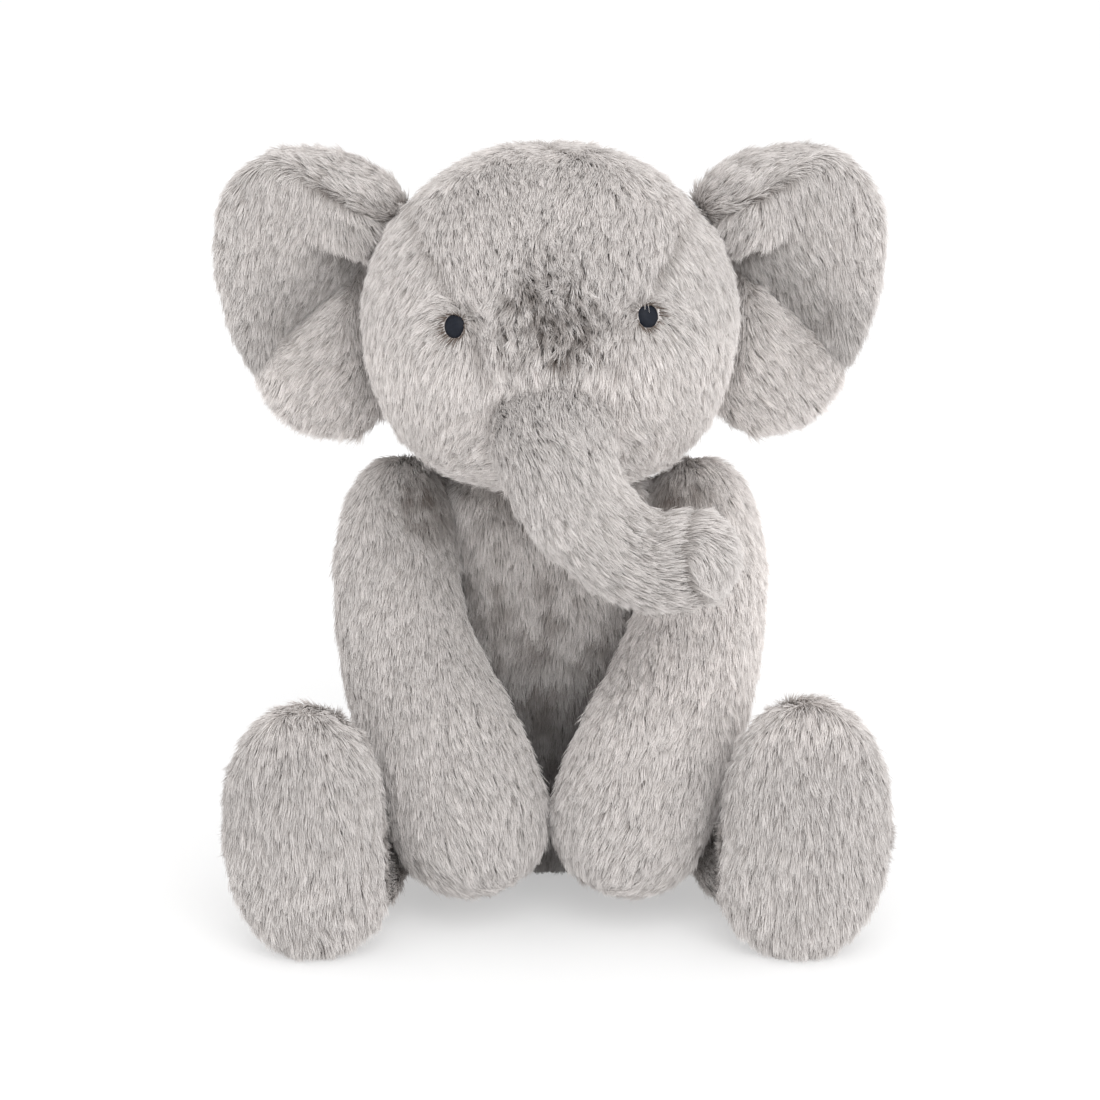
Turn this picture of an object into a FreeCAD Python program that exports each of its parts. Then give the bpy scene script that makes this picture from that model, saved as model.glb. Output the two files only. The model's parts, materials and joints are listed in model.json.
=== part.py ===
import FreeCAD, Part
import math
import os

# A seated long-pile plush elephant, sewn from fabric panels over loose filling.
# Millimetres. Origin: middle of the seat underside. +Z up, the face looks along -Y.
# Side -1 is the viewer's left (-X), side +1 the viewer's right (+X).

V = FreeCAD.Vector
SIDES = {"left": -1, "right": 1}

# Fabric, filling and the gaps between sewn pieces
SKIN = 2.5
FILL_GAP = 0.5
SEAM_GAP = 0.3
SOCKET_GAP = 0.8
BIG = 500.0
RING_POINTS = 16

# Torso: height, half width and half depth of each level
TORSO_CENTRE_Y = -4.0
TORSO_LEVELS = [
    (0.0, 44.0, 34.0),
    (6.0, 50.0, 39.0),
    (22.0, 54.0, 43.0),
    (50.0, 52.0, 42.0),
    (85.0, 44.0, 37.0),
    (115.0, 35.0, 31.0),
    (134.0, 29.0, 27.0),
    (143.0, 24.5, 23.0),
    (147.0, 21.0, 20.0),
]
BASE_SEAM_Z = 14.0
SIDE_SEAM_Y = 4.0
POUCH_Z = 27.0
POUCH_RADIUS = 24.0
POUCH_SKIN = 1.0
POUCH_BOTTOM_Z = 5.5
PELLET_RADIUS = 3.0
PELLET_PITCH = 8.5
PELLET_LAYERS = 2

# Neck plug, which the head turns and nods on
NECK_Y = -5.0
NECK_RADIUS = 15.0
NECK_BOTTOM_Z = 136.0
NECK_TOP_Z = 163.0
NECK_CLEARANCE = 1.5
NECK_PLUG_GAP = 1.0
NECK_HOLE_RISE = 4.0

# Head: a rounded form, fuller at the cheeks than at the crown
HEAD_CENTRE = V(0.0, -5.0, 215.0)
HEAD_HALF_WIDTH = 70.5
HEAD_HALF_DEPTH = 66.0
HEAD_UP = 65.0
HEAD_DOWN = 61.0
CROWN_POWER = 0.93
CHEEK_POWER = 0.62
BROW_Z = 209.0
GUSSET_FRONT = [(22.0, BROW_Z), (29.0, 231.0), (39.0, 246.0), (56.0, 270.0), (62.0, 300.0)]
GUSSET_BACK = [(18.0, 140.0), (24.0, 209.0), (40.0, 250.0), (62.0, 300.0)]
EYE_CENTRES = {"left": (-35.1, 224.5), "right": (36.0, 228.0)}
EYE_HALF_WIDTH = 4.0
EYE_HALF_HEIGHT = 5.0
EYE_THICKNESS = 1.2
EYE_BACK_GAP = 0.05
EYE_COLUMN_END_Y = -20.0

# Trunk: centreline points and fabric radii of the upper half and of the tip
TRUNK_PIVOT = V(0.0, -59.0, 203.0)
TRUNK_ROOT_RADIUS = 21.5
TRUNK_BEND = V(11.0, -99.0, 164.0)
TRUNK_BEND_RADIUS = 18.0
TRUNK_UPPER_PATH = [TRUNK_PIVOT, V(1.0, -80.0, 190.0), V(4.5, -92.5, 177.0), TRUNK_BEND]
TRUNK_UPPER_RADII = [TRUNK_ROOT_RADIUS, 21.0, 19.5, TRUNK_BEND_RADIUS]
TRUNK_TIP_PATH = [TRUNK_BEND, V(24.0, -103.0, 153.5), V(40.0, -106.0, 149.0), V(54.0, -111.0, 150.5)]
TRUNK_TIP_RADII = [TRUNK_BEND_RADIUS, 17.5, 16.8, 16.4]
TRUNK_END_BULGE = 5.0
TRUNK_CURL_RANGE = (-20.0, 25.0)
TRUNK_LIFT_MAX = 16.0
TRUNK_SEAM_NORMAL = V(1.0, 0.0, 0.0)
TIP_SEAM_NORMAL = V(0.25, 0.1, 1.0)
TRUNK_FILL_ROOM = 6.0
BEND_FILL_ROOM = 5.0
BEND_FILL_SETBACK = 8.0

# Ears: outline on the viewer's right, as distance from the middle and height
EAR_OUTLINE = [
    (55.0, 261.0),
    (68.0, 271.5),
    (91.0, 278.5),
    (114.0, 272.5),
    (126.5, 252.0),
    (126.0, 224.0),
    (116.0, 193.0),
    (100.0, 172.0),
    (83.0, 166.5),
    (66.0, 178.0),
]
EAR_ROOT = [(71.5, 197.0), (73.5, 218.0), (68.0, 240.0)]
EAR_LIFT = {"left": -0.5, "right": 1.0}
EAR_FRONT_Y = 3.0
EAR_DISH_RADIUS = 210.0
EAR_DISH_X = 96.0
EAR_DISH_Z = 222.0
EAR_SETBACK = 12.0
EAR_BLOCK_HALF_DEPTH = 60.0
EAR_PANEL = 3.5
EAR_WADDING = 5.0

# Arms: shoulder, elbow, wrist and paw centres on the viewer's right
ARM_PIVOT = (58.5, -8.0, 138.5)
ARM_PATH = [ARM_PIVOT, (58.0, -38.0, 105.0), (45.0, -67.5, 66.0), (30.5, -82.5, 36.5)]
ARM_RADII = [23.0, 23.5, 25.5, 27.5]
ARM_SEAM_TILT = -0.25

# Legs: hip, knee and ankle centres, then the upright foot
LEG_PIVOT = (48.0, -25.0, 24.0)
LEG_PATH = [LEG_PIVOT, (71.0, -51.0, 21.5), (87.0, -81.0, 23.0), (91.0, -98.0, 27.0)]
LEG_RADII = [20.5, 19.5, 20.5, 22.0]
FOOT_CENTRE = (90.0, -106.0, 45.0)
FOOT_HALF_SIZE = (27.5, 20.0, 46.5)
FOOT_LEAN = 9.0
SOLE_SEAM_Y = -4.0

# Tail at the back of the seat
TAIL_PATH = [V(0.0, 43.6, 34.0), V(0.0, 52.0, 27.0), V(0.0, 56.0, 14.0)]
TAIL_RADII = [4.0, 4.0, 4.0]
TUFT_RADIUS = 7.0
TUFT_CENTRE = V(0.0, 56.5, 8.2)
TUFT_GAP = 0.02


def ring(centre, across, along, half_a, half_b):
    """A closed elliptical wire round centre, in the plane of two unit directions."""
    points = []
    for i in range(RING_POINTS):
        turn = 2 * math.pi * i / RING_POINTS
        points.append(centre + across * (half_a * math.cos(turn)) + along * (half_b * math.sin(turn)))
    curve = Part.BSplineCurve()
    curve.interpolate(points, PeriodicFlag=True)
    return Part.Wire([curve.toShape()])


def largest_solid(shape):
    """The biggest closed solid of a shape."""
    return max(shape.Solids, key=lambda solid: solid.Volume)


def loft(rings):
    """A smooth closed solid through a row of wires."""
    solid = largest_solid(Part.makeLoft(rings, True, False))
    if solid.Volume < 0:
        solid.reverse()
    return solid


def tube(path, radii, inset=0.0):
    """A round soft limb along a curved path, with a rounded cap beyond each end point."""
    line = Part.BSplineCurve()
    line.interpolate(path)
    first, last = line.FirstParameter, line.LastParameter
    stops = [i / 12.0 for i in range(13)]
    radius_line = Part.BSplineCurve()
    radius_line.interpolate([V(i, r, 0) for i, r in enumerate(radii)], Parameters=line_parameters(path))
    caps = [math.radians(angle) for angle in (72, 54, 36, 18)]
    across = V(1, 0, 0) if abs(line.tangent(first)[0].x) < 0.8 else V(0, 1, 0)
    rings = []

    def add(centre, direction, radius):
        nonlocal across
        across = (across - direction * across.dot(direction)).normalize()
        rings.append(ring(centre, across, direction.cross(across), radius, radius))

    start, heading = line.value(first), line.tangent(first)[0]
    for angle in caps:
        size = radii[0] - inset
        add(start - heading * (size * math.sin(angle)), heading, size * math.cos(angle))
    for stop in stops:
        where = first + (last - first) * stop
        add(line.value(where), line.tangent(where)[0], radius_line.value(stop).y - inset)
    end, heading = line.value(last), line.tangent(last)[0]
    for angle in reversed(caps):
        size = radii[-1] - inset
        add(end + heading * (size * math.sin(angle)), heading, size * math.cos(angle))
    return loft(rings)


def line_parameters(path):
    """Each path point's share of the length from the first point, from 0 to 1."""
    lengths = [0.0]
    for a, b in zip(path, path[1:]):
        lengths.append(lengths[-1] + (b - a).Length)
    return [length / lengths[-1] for length in lengths]


def half_space(point, normal):
    """A very large block on the side of a plane that its normal points to."""
    block = Part.makeBox(2 * BIG, 2 * BIG, BIG, V(-BIG, -BIG, 0))
    block.Placement = FreeCAD.Placement(point, FreeCAD.Rotation(V(0, 0, 1), normal))
    return block


def split(shape, point, normal):
    """The two parts of a shape on either side of a seam plane, a seam gap apart."""
    unit = V(normal).normalize()
    front = shape.common(half_space(point + unit * (SEAM_GAP / 2), unit))
    back = shape.common(half_space(point - unit * (SEAM_GAP / 2), unit * -1))
    return front, back


def mirrored(point, side):
    """A point given for the viewer's right, on the chosen side."""
    return V(side * point[0], point[1], point[2])


def ball(centre, radius):
    return Part.makeSphere(radius, centre)


def upright_cylinder(radius, low, high, y):
    return Part.makeCylinder(radius, high - low, V(0, y, low))


def prism(points, y_low, y_high):
    """A straight-sided outline of X and Z points, filled from one depth to another."""
    corners = [V(x, y_low, z) for x, z in points]
    face = Part.Face(Part.makePolygon(corners + corners[:1]))
    return face.extrude(V(0, y_high - y_low, 0))


# Torso

def torso_form(inset=0.0):
    middle = TORSO_LEVELS[-1][0] / 2
    squeeze = 1 - inset / middle
    rings = []
    for z, half_width, half_depth in TORSO_LEVELS:
        centre = V(0, TORSO_CENTRE_Y, middle + (z - middle) * squeeze)
        rings.append(ring(centre, V(1, 0, 0), V(0, 1, 0), half_width - inset, half_depth - inset))
    return loft(rings)


def limb_sockets(gap):
    """The round space that each shoulder and hip turns in."""
    sockets = []
    for side in SIDES.values():
        sockets.append(ball(mirrored(ARM_PIVOT, side), ARM_RADII[0] + gap))
        sockets.append(ball(mirrored(LEG_PIVOT, side), LEG_RADII[0] + gap))
    return sockets


def make_torso():
    outside = torso_form()
    neck_hole = upright_cylinder(NECK_RADIUS + NECK_CLEARANCE, NECK_BOTTOM_Z, BIG, NECK_Y)
    sockets = limb_sockets(SOCKET_GAP)
    skin = outside.cut(torso_form(SKIN)).cut([neck_hole] + sockets)
    upper, base = split(skin, V(0, 0, BASE_SEAM_Z), V(0, 0, 1))
    back, front = split(upper, V(0, SIDE_SEAM_Y, 0), V(0, 1, 0))
    back_right, back_left = split(back, V(0, 0, 0), V(1, 0, 0))
    filling = torso_form(SKIN + FILL_GAP).cut([neck_hole, pouch_form(-FILL_GAP)] + sockets)
    pouch = pouch_form(0).cut(pouch_form(POUCH_SKIN))
    return {
        "torso_front_panel": front,
        "torso_back_left_panel": back_left,
        "torso_back_right_panel": back_right,
        "torso_base_panel": base,
        "torso_filling": filling,
        "bean_pouch": pouch,
        "bean_pellets": make_pellets(),
    }


def pouch_form(inset):
    """The flat-bottomed round bag that the pellets lie in."""
    shape = ball(V(0, TORSO_CENTRE_Y, POUCH_Z), POUCH_RADIUS - inset)
    return shape.common(half_space(V(0, 0, POUCH_BOTTOM_Z + inset), V(0, 0, 1)))


def make_pellets():
    """Round pellets in layers, as far as the bag holds them."""
    pellets = []
    reach = POUCH_RADIUS - POUCH_SKIN - PELLET_RADIUS - FILL_GAP
    floor = POUCH_BOTTOM_Z + POUCH_SKIN + PELLET_RADIUS + FILL_GAP
    steps = range(-3, 4)
    for layer in range(PELLET_LAYERS):
        z = floor + layer * PELLET_PITCH
        for i in steps:
            for j in steps:
                offset = V(i * PELLET_PITCH, j * PELLET_PITCH, z - POUCH_Z)
                if offset.Length < reach:
                    pellets.append(ball(V(0, TORSO_CENTRE_Y, POUCH_Z) + offset, PELLET_RADIUS))
    return Part.makeCompound(pellets)


# Head

def head_form(inset=0.0):
    rings = []
    for degrees in (-78, -66, -52, -38, -22, -6, 10, 26, 42, 56, 68, 79):
        angle = math.radians(degrees)
        up = degrees > 0
        height = (HEAD_UP if up else HEAD_DOWN) - inset
        share = math.cos(angle) ** (CROWN_POWER if up else CHEEK_POWER)
        centre = HEAD_CENTRE + V(0, 0, height * math.sin(angle))
        half_width = (HEAD_HALF_WIDTH - inset) * share
        half_depth = (HEAD_HALF_DEPTH - inset) * share
        rings.append(ring(centre, V(1, 0, 0), V(0, 1, 0), half_width, half_depth))
    return loft(rings)


def gusset_prism(margin):
    """The wedge that the head's middle panel is cut by, widened by a margin."""
    bands = []
    for outline, y_low, y_high in ((GUSSET_FRONT, -BIG, 0), (GUSSET_BACK, 0, BIG)):
        lowered = [(x + margin, z) for x, z in outline]
        lowered[0] = (lowered[0][0], lowered[0][1] - margin)
        points = lowered + [(-x, z) for x, z in reversed(lowered)]
        bands.append(prism(points, y_low, y_high))
    return bands[0].fuse(bands[1])


def make_head():
    neck_hole = upright_cylinder(NECK_RADIUS + NECK_CLEARANCE, 0, NECK_TOP_Z + NECK_HOLE_RISE, NECK_Y)
    holes = [neck_hole, ball(TRUNK_PIVOT, TRUNK_ROOT_RADIUS + SOCKET_GAP)]
    holes += turned_copies(TRUNK_UPPER_PATH, TRUNK_UPPER_RADII, V(-1, 0, 0), (0.0, TRUNK_LIFT_MAX))
    skin = head_form().cut(head_form(SKIN)).cut(holes)
    trunk_room = ball(TRUNK_PIVOT, TRUNK_ROOT_RADIUS + TRUNK_FILL_ROOM)
    gusset = skin.common(gusset_prism(0))
    sides = skin.cut(gusset_prism(SEAM_GAP))
    right, left = split(sides, V(0, 0, 0), V(1, 0, 0))
    parts = {
        "head_gusset": largest_solid(gusset),
        "head_left_panel": largest_solid(left),
        "head_right_panel": largest_solid(right),
        "head_filling": largest_solid(head_form(SKIN + FILL_GAP).cut([neck_hole, trunk_room])),
    }
    for name in SIDES:
        parts["eye_" + name] = make_eye(name)
    return parts


def make_eye(name):
    """A raised oval patch of satin stitches that follows the face."""
    x, z = EYE_CENTRES[name]
    oval = Part.Face(ring(V(x, -BIG, z), V(1, 0, 0), V(0, 0, 1), EYE_HALF_WIDTH, EYE_HALF_HEIGHT))
    column = oval.extrude(V(0, BIG + EYE_COLUMN_END_Y, 0))
    return head_form(-EYE_THICKNESS).cut(head_form(-EYE_BACK_GAP)).common(column)


# Trunk

def turned_copies(path, radii, axis, angles):
    """The space a tube takes as it turns about its first point, with room round it."""
    copies = []
    for angle in angles:
        copy = tube(path, radii, -SOCKET_GAP)
        copy.rotate(path[0], axis, angle)
        copies.append(copy)
    return copies


def panels_and_filling(name, form, point, normal, names=("outer", "inner")):
    """Two panels either side of a seam plane, and the filling they hold."""
    first, second = split(form(0).cut(form(SKIN)), point, normal)
    return {
        f"{name}_{names[0]}_panel": first,
        f"{name}_{names[1]}_panel": second,
        f"{name}_filling": form(SKIN + FILL_GAP),
    }


def make_trunk():
    """The upper half turns in the face; the tip turns in a round end of the upper half."""
    room = [ball(TRUNK_BEND, TRUNK_BEND_RADIUS + SOCKET_GAP)]
    room += turned_copies(TRUNK_TIP_PATH, TRUNK_TIP_RADII, V(0, -1, 0), TRUNK_CURL_RANGE + (0.0,))

    downward = (TRUNK_BEND - TRUNK_UPPER_PATH[-2]).normalize()

    def upper_tube(inset):
        return tube(TRUNK_UPPER_PATH, TRUNK_UPPER_RADII, inset)

    def tip_form(inset):
        return tube(TRUNK_TIP_PATH, TRUNK_TIP_RADII, inset)

    skin = upper_tube(0).cut([upper_tube(SKIN), half_space(TRUNK_BEND, downward)] + room)
    right, left = split(skin, TRUNK_UPPER_PATH[1], TRUNK_SEAM_NORMAL)
    beyond = half_space(TRUNK_BEND - downward * BEND_FILL_SETBACK, downward)
    fill_room = ball(TRUNK_BEND, TRUNK_BEND_RADIUS + BEND_FILL_ROOM)
    parts = {
        "trunk_upper_right_panel": largest_solid(right),
        "trunk_upper_left_panel": largest_solid(left),
        "trunk_upper_filling": largest_solid(upper_tube(SKIN + FILL_GAP).cut([beyond, fill_room])),
    }
    tip_parts = panels_and_filling(
        "trunk_tip", tip_form, TRUNK_TIP_PATH[1], TIP_SEAM_NORMAL, ("upper", "lower")
    )
    heading = (TRUNK_TIP_PATH[-1] - TRUNK_TIP_PATH[-2]).normalize()
    end_seam = TRUNK_TIP_PATH[-1] + heading * TRUNK_END_BULGE
    for name in list(tip_parts):
        body, end = split(tip_parts[name], end_seam, heading * -1)
        tip_parts[name] = body
    end_panel = split(tip_form(0).cut(tip_form(SKIN)), end_seam, heading)[0]
    parts.update(tip_parts)
    parts["trunk_end_panel"] = end_panel
    return parts


# Ears

def ear_outline_face(side, lift):
    """The ear's flat outline, with its inner edge running beside the head."""
    around = [V(side * x, 0, z + lift) for x, z in EAR_OUTLINE]
    root = [V(side * x, 0, z + lift) for x, z in EAR_ROOT]
    outer = Part.BSplineCurve()
    outer.interpolate(around)
    inner = Part.BSplineCurve()
    inner.interpolate([around[-1]] + root + [around[0]])
    return Part.Face(Part.Wire([outer.toShape(), inner.toShape()]))


def make_ear(name, side):
    """Front panel, wadding and back panel, all dished towards the front."""
    outline = ear_outline_face(side, EAR_LIFT[name])
    block = outline.copy()
    block.translate(V(0, -EAR_BLOCK_HALF_DEPTH, 0))
    block = block.extrude(V(0, 2 * EAR_BLOCK_HALF_DEPTH, 0))
    centre = V(side * EAR_DISH_X, EAR_FRONT_Y - EAR_DISH_RADIUS, EAR_DISH_Z)
    layers = {}
    depth = EAR_DISH_RADIUS + EAR_SETBACK
    for layer, thickness in (("front_panel", EAR_PANEL), ("wadding", EAR_WADDING), ("back_panel", EAR_PANEL)):
        shell = ball(centre, depth + thickness).cut(ball(centre, depth))
        layers[f"ear_{name}_{layer}"] = largest_solid(block.common(shell))
        depth += thickness + SEAM_GAP
    return layers


# Arms and legs

def make_arm(name, side):
    path = [mirrored(point, side) for point in ARM_PATH]

    def form(inset):
        return tube(path, ARM_RADII, inset)

    return panels_and_filling("arm_" + name, form, path[2], V(side, 0, ARM_SEAM_TILT))


def foot_form(side, inset):
    """The upright oval foot, leaning back, standing on a flat heel."""
    half_x, half_y, half_z = [size - inset for size in FOOT_HALF_SIZE]
    stretch = FreeCAD.Matrix()
    stretch.scale(half_x, half_y, half_z)
    oval = ball(V(0, 0, 0), 1.0).transformGeometry(stretch)
    oval.Placement = FreeCAD.Placement(mirrored(FOOT_CENTRE, side), FreeCAD.Rotation(V(1, 0, 0), -FOOT_LEAN))
    return oval


def make_leg(name, side):
    path = [mirrored(point, side) for point in LEG_PATH]

    def form(inset):
        whole = tube(path, LEG_RADII, inset).fuse(foot_form(side, inset))
        return largest_solid(whole.common(half_space(V(0, 0, inset), V(0, 0, 1))))

    forward = V(0, -math.cos(math.radians(FOOT_LEAN)), math.sin(math.radians(FOOT_LEAN)))
    seam = mirrored(FOOT_CENTRE, side) + forward * -SOLE_SEAM_Y
    sole, leg = split(form(0).cut(form(SKIN)), seam, forward)
    upper, lower = split(leg, path[1], V(0, 0, 1))
    return {
        f"leg_{name}_upper_panel": largest_solid(upper),
        f"leg_{name}_lower_panel": largest_solid(lower),
        f"sole_{name}_panel": largest_solid(sole),
        f"leg_{name}_filling": form(SKIN + FILL_GAP),
    }


def make_tail():
    tuft = ball(TUFT_CENTRE, TUFT_RADIUS)
    cord = tube(TAIL_PATH, TAIL_RADII).cut(ball(TUFT_CENTRE, TUFT_RADIUS + TUFT_GAP))
    return {"tail_tube": largest_solid(cord), "tail_tuft": tuft}


def make_neck():
    return {"neck_filling": upright_cylinder(NECK_RADIUS, NECK_BOTTOM_Z + NECK_PLUG_GAP, NECK_TOP_Z, NECK_Y)}


def make_all():
    parts = {}
    for made in (make_torso(), make_neck(), make_head(), make_trunk(), make_tail()):
        parts.update(made)
    for name, side in SIDES.items():
        parts.update(make_ear(name, side))
        parts.update(make_arm(name, side))
        parts.update(make_leg(name, side))
    return parts


os.makedirs("parts", exist_ok=True)
for node, shape in make_all().items():
    shape.exportStep(f"parts/{node}.step")
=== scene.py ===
import json
import math

import bmesh
import bpy
import numpy as np
from mathutils import Matrix, Vector


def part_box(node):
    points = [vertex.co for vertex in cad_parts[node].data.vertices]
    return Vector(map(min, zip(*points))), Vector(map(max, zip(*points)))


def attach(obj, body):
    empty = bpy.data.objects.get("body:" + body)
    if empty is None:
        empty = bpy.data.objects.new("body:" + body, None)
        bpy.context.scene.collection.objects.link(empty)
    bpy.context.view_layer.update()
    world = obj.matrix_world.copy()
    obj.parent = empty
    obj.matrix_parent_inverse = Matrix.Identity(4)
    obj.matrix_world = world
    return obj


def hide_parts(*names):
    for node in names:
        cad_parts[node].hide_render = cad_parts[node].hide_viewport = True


# A seated long-pile plush elephant. Each sewn part is a padded cloth skin grown from the part's own
# filling, with the pile's locks in its surface, and carries a coat of hair. Metres, in the frame's axes.

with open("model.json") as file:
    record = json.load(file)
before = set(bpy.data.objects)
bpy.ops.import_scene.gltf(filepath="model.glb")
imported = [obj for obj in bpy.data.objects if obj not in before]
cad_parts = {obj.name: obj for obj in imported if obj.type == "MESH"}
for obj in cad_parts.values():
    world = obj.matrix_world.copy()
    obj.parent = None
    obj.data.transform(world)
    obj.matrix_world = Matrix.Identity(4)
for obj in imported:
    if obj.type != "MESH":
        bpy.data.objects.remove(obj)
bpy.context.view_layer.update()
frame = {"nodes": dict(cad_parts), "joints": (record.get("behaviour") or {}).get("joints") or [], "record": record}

MM = 0.001
SIDES = {"left": -1.0, "right": 1.0}
PI = math.pi

# Skin building
VOXEL = 5.0 * MM
SKIN_OFFSET = 2.6 * MM
SUBDIVISIONS = 2
CLOTH_FRAMES = 16
CLOTH_PRESSURE = 4.0
CLOTH_CAP = 1.8 * MM
CLOTH_START = 1.2 * MM
FLOOR_GAP = 0.2 * MM
LOWEST_ROOT = 0.6 * MM

PILE = 7.8 * MM
STRANDS_PER_M2 = 5.6e6
STRAND_POINTS = 5
STRAND_RADII = (0.115 * MM, 0.105 * MM, 0.095 * MM, 0.07 * MM, 0.03 * MM)
LOCK_SIZE = 2.4 * MM
LOCK_HEIGHT = 0.8 * MM
# How much the flow wanders: noise size and amount, then the share added in a tangled patch
WANDER_WIDE = (16 * MM, 0.28)
WANDER_CLOSE = (6 * MM, 0.16)
WANDER_TANGLE = (3 * MM, 0.9)
# Lean of a strand from the skin in degrees, what a lock and a tangle add, and its own spread in radians
LEAN = 20
LEAN_OF_LOCK = 8
LEAN_OF_TANGLE = 26
LEAN_SPREAD = 0.10
# How far tips are drawn to the middle of their lock, and how far they hang
GATHER = 0.38
SAG = 0.06

# Colours, linear
ROOT_COLOUR = (0.28, 0.25, 0.23)
MIDDLE_COLOUR = (0.57, 0.535, 0.515)
TIP_COLOUR = (0.82, 0.785, 0.765)
BROWN_COLOUR = (0.12, 0.085, 0.065)


# ---------------------------------------------------------------- numbers

def hashed(cells, seed):
    """Three repeatable random numbers from 0 to 1 for each whole-number cell."""
    x, y, z = (cells[..., i].astype(np.uint32) for i in range(3))
    h = x * np.uint32(73856093) ^ y * np.uint32(19349663) ^ z * np.uint32(83492791)
    h = h ^ np.uint32(seed * 2654435761 % 2**32)
    out = []
    for _ in range(3):
        h = h ^ (h >> np.uint32(16))
        h = h * np.uint32(2246822507)
        h = h ^ (h >> np.uint32(13))
        h = h * np.uint32(3266489909)
        h = h ^ (h >> np.uint32(16))
        out.append(h.astype(np.float64) / 2**32)
    return np.stack(out, -1)


def noise(points, size, seed):
    """Smooth three-way noise from -1 to 1 that varies over the given size."""
    q = points / size
    low = np.floor(q).astype(np.int64)
    t = q - low
    t = t * t * (3 - 2 * t)
    total = np.zeros_like(points)
    for corner in np.ndindex(2, 2, 2):
        c = np.array(corner)
        weight = np.prod(np.where(c == 1, t, 1 - t), axis=1)
        total += hashed(low + c, seed) * weight[:, None]
    return total * 2 - 1


def lock_cells(points, flow, size, seed):
    """For each point the nearest lock centre, measured long along the flow, its distance and a random number."""
    low = np.floor(points / size).astype(np.int64)
    best = np.full(len(points), 1e9)
    centre = np.zeros_like(points)
    pick = np.zeros(len(points))
    for step in np.ndindex(3, 3, 3):
        cell = low + (np.array(step) - 1)
        rand = hashed(cell, seed)
        spot = (cell + rand) * size
        away = spot - points
        along = np.sum(away * flow, axis=1)
        distance = np.sqrt(np.maximum(np.sum(away * away, axis=1) - 0.7 * along * along, 0))
        nearer = distance < best
        best = np.where(nearer, distance, best)
        centre[nearer] = spot[nearer]
        pick[nearer] = rand[nearer, 0] * 7 % 1
    return centre, best, pick


def unit(v):
    return v / np.maximum(np.linalg.norm(v, axis=-1, keepdims=True), 1e-9)


def bump(distance, width):
    """1 at no distance, falling smoothly to 0 beyond the width."""
    return np.exp(-((distance / width) ** 2))


def tangent(flow, normals):
    return unit(flow - normals * np.sum(flow * normals, axis=1)[:, None])


# ---------------------------------------------------------------- meshes

def vertex_array(mesh, what="co"):
    data = np.zeros(len(mesh.vertices) * 3)
    mesh.vertices.foreach_get(what, data)
    return data.reshape(-1, 3)


def set_vertices(mesh, points):
    mesh.vertices.foreach_set("co", points.ravel())
    mesh.update()


def new_object(name, mesh):
    mesh.name = name
    obj = bpy.data.objects.new(name, mesh)
    bpy.context.scene.collection.objects.link(obj)
    return obj


def applied(obj):
    """The object's mesh becomes what its modifiers make of it."""
    deps = bpy.context.evaluated_depsgraph_get()
    mesh = bpy.data.meshes.new_from_object(obj.evaluated_get(deps))
    obj.modifiers.clear()
    obj.data = mesh
    return obj


def largest_island(mesh):
    bm = bmesh.new()
    bm.from_mesh(mesh)
    left = set(bm.verts)
    islands = []
    while left:
        stack = [left.pop()]
        island = set(stack)
        while stack:
            for edge in stack.pop().link_edges:
                for vert in edge.verts:
                    if vert in left:
                        left.discard(vert)
                        island.add(vert)
                        stack.append(vert)
        islands.append(island)
    keep = max(islands, key=len)
    bmesh.ops.delete(bm, geom=[v for v in bm.verts if v not in keep], context="VERTS")
    bm.to_mesh(mesh)
    bm.free()
    mesh.update()


def copied(name, nodes):
    """One object holding copies of some CAD nodes' meshes."""
    bm = bmesh.new()
    for node in nodes:
        bm.from_mesh(frame["nodes"][node].data)
    mesh = bpy.data.meshes.new(name)
    bm.to_mesh(mesh)
    bm.free()
    return new_object(name, mesh)


def remeshed(obj, voxel):
    modifier = obj.modifiers.new("remesh", "REMESH")
    modifier.mode = "VOXEL"
    modifier.voxel_size = voxel
    applied(obj)
    largest_island(obj.data)
    return obj


def swollen(obj, distance):
    mesh = obj.data
    set_vertices(mesh, vertex_array(mesh) + vertex_array(mesh, "normal") * distance)
    return obj


def padded(obj, cap=CLOTH_CAP):
    """Stuffs the skin: cloth with pressure inside swells and wrinkles it, each point by no more than the cap."""
    scene = bpy.context.scene
    before = vertex_array(obj.data)
    cloth = obj.modifiers.new("cloth", "CLOTH")
    settings = cloth.settings
    settings.use_pressure = True
    settings.uniform_pressure_force = CLOTH_PRESSURE
    settings.effector_weights.gravity = 0
    settings.mass = 0.25
    settings.tension_stiffness = 12
    settings.compression_stiffness = 8
    settings.bending_stiffness = 0.6
    settings.quality = 5
    cloth.point_cache.frame_start = 1
    cloth.point_cache.frame_end = CLOTH_FRAMES
    for number in range(1, CLOTH_FRAMES + 1):
        scene.frame_set(number)
    applied(obj)
    scene.frame_set(1)
    move = vertex_array(obj.data) - before
    size = np.linalg.norm(move, axis=1, keepdims=True)
    move *= np.minimum(1, cap / np.maximum(size, 1e-9))
    set_vertices(obj.data, before + move)
    return obj


def subdivided(obj, levels=SUBDIVISIONS):
    modifier = obj.modifiers.new("smooth", "SUBSURF")
    modifier.levels = levels
    modifier.render_levels = levels
    return applied(obj)


def with_core(obj, centre, half):
    """Adds a closed ball inside a part, so that the openings cut for its neighbours don't show in its skin."""
    bm = bmesh.new()
    bm.from_mesh(obj.data)
    place = Matrix.Translation(centre) @ Matrix.Diagonal((*half, 1.0))
    bmesh.ops.create_icosphere(bm, subdivisions=4, radius=1.0, matrix=place)
    bm.to_mesh(obj.data)
    bm.free()
    return obj


def skin_from(name, node, voxel=VOXEL, start=SKIN_OFFSET - CLOTH_START, core=None):
    """A padded skin round the CAD filling of a part."""
    obj = copied(name, [node])
    if core:
        with_core(obj, *core)
    remeshed(obj, voxel)
    swollen(obj, start)
    return subdivided(padded(obj))


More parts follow.
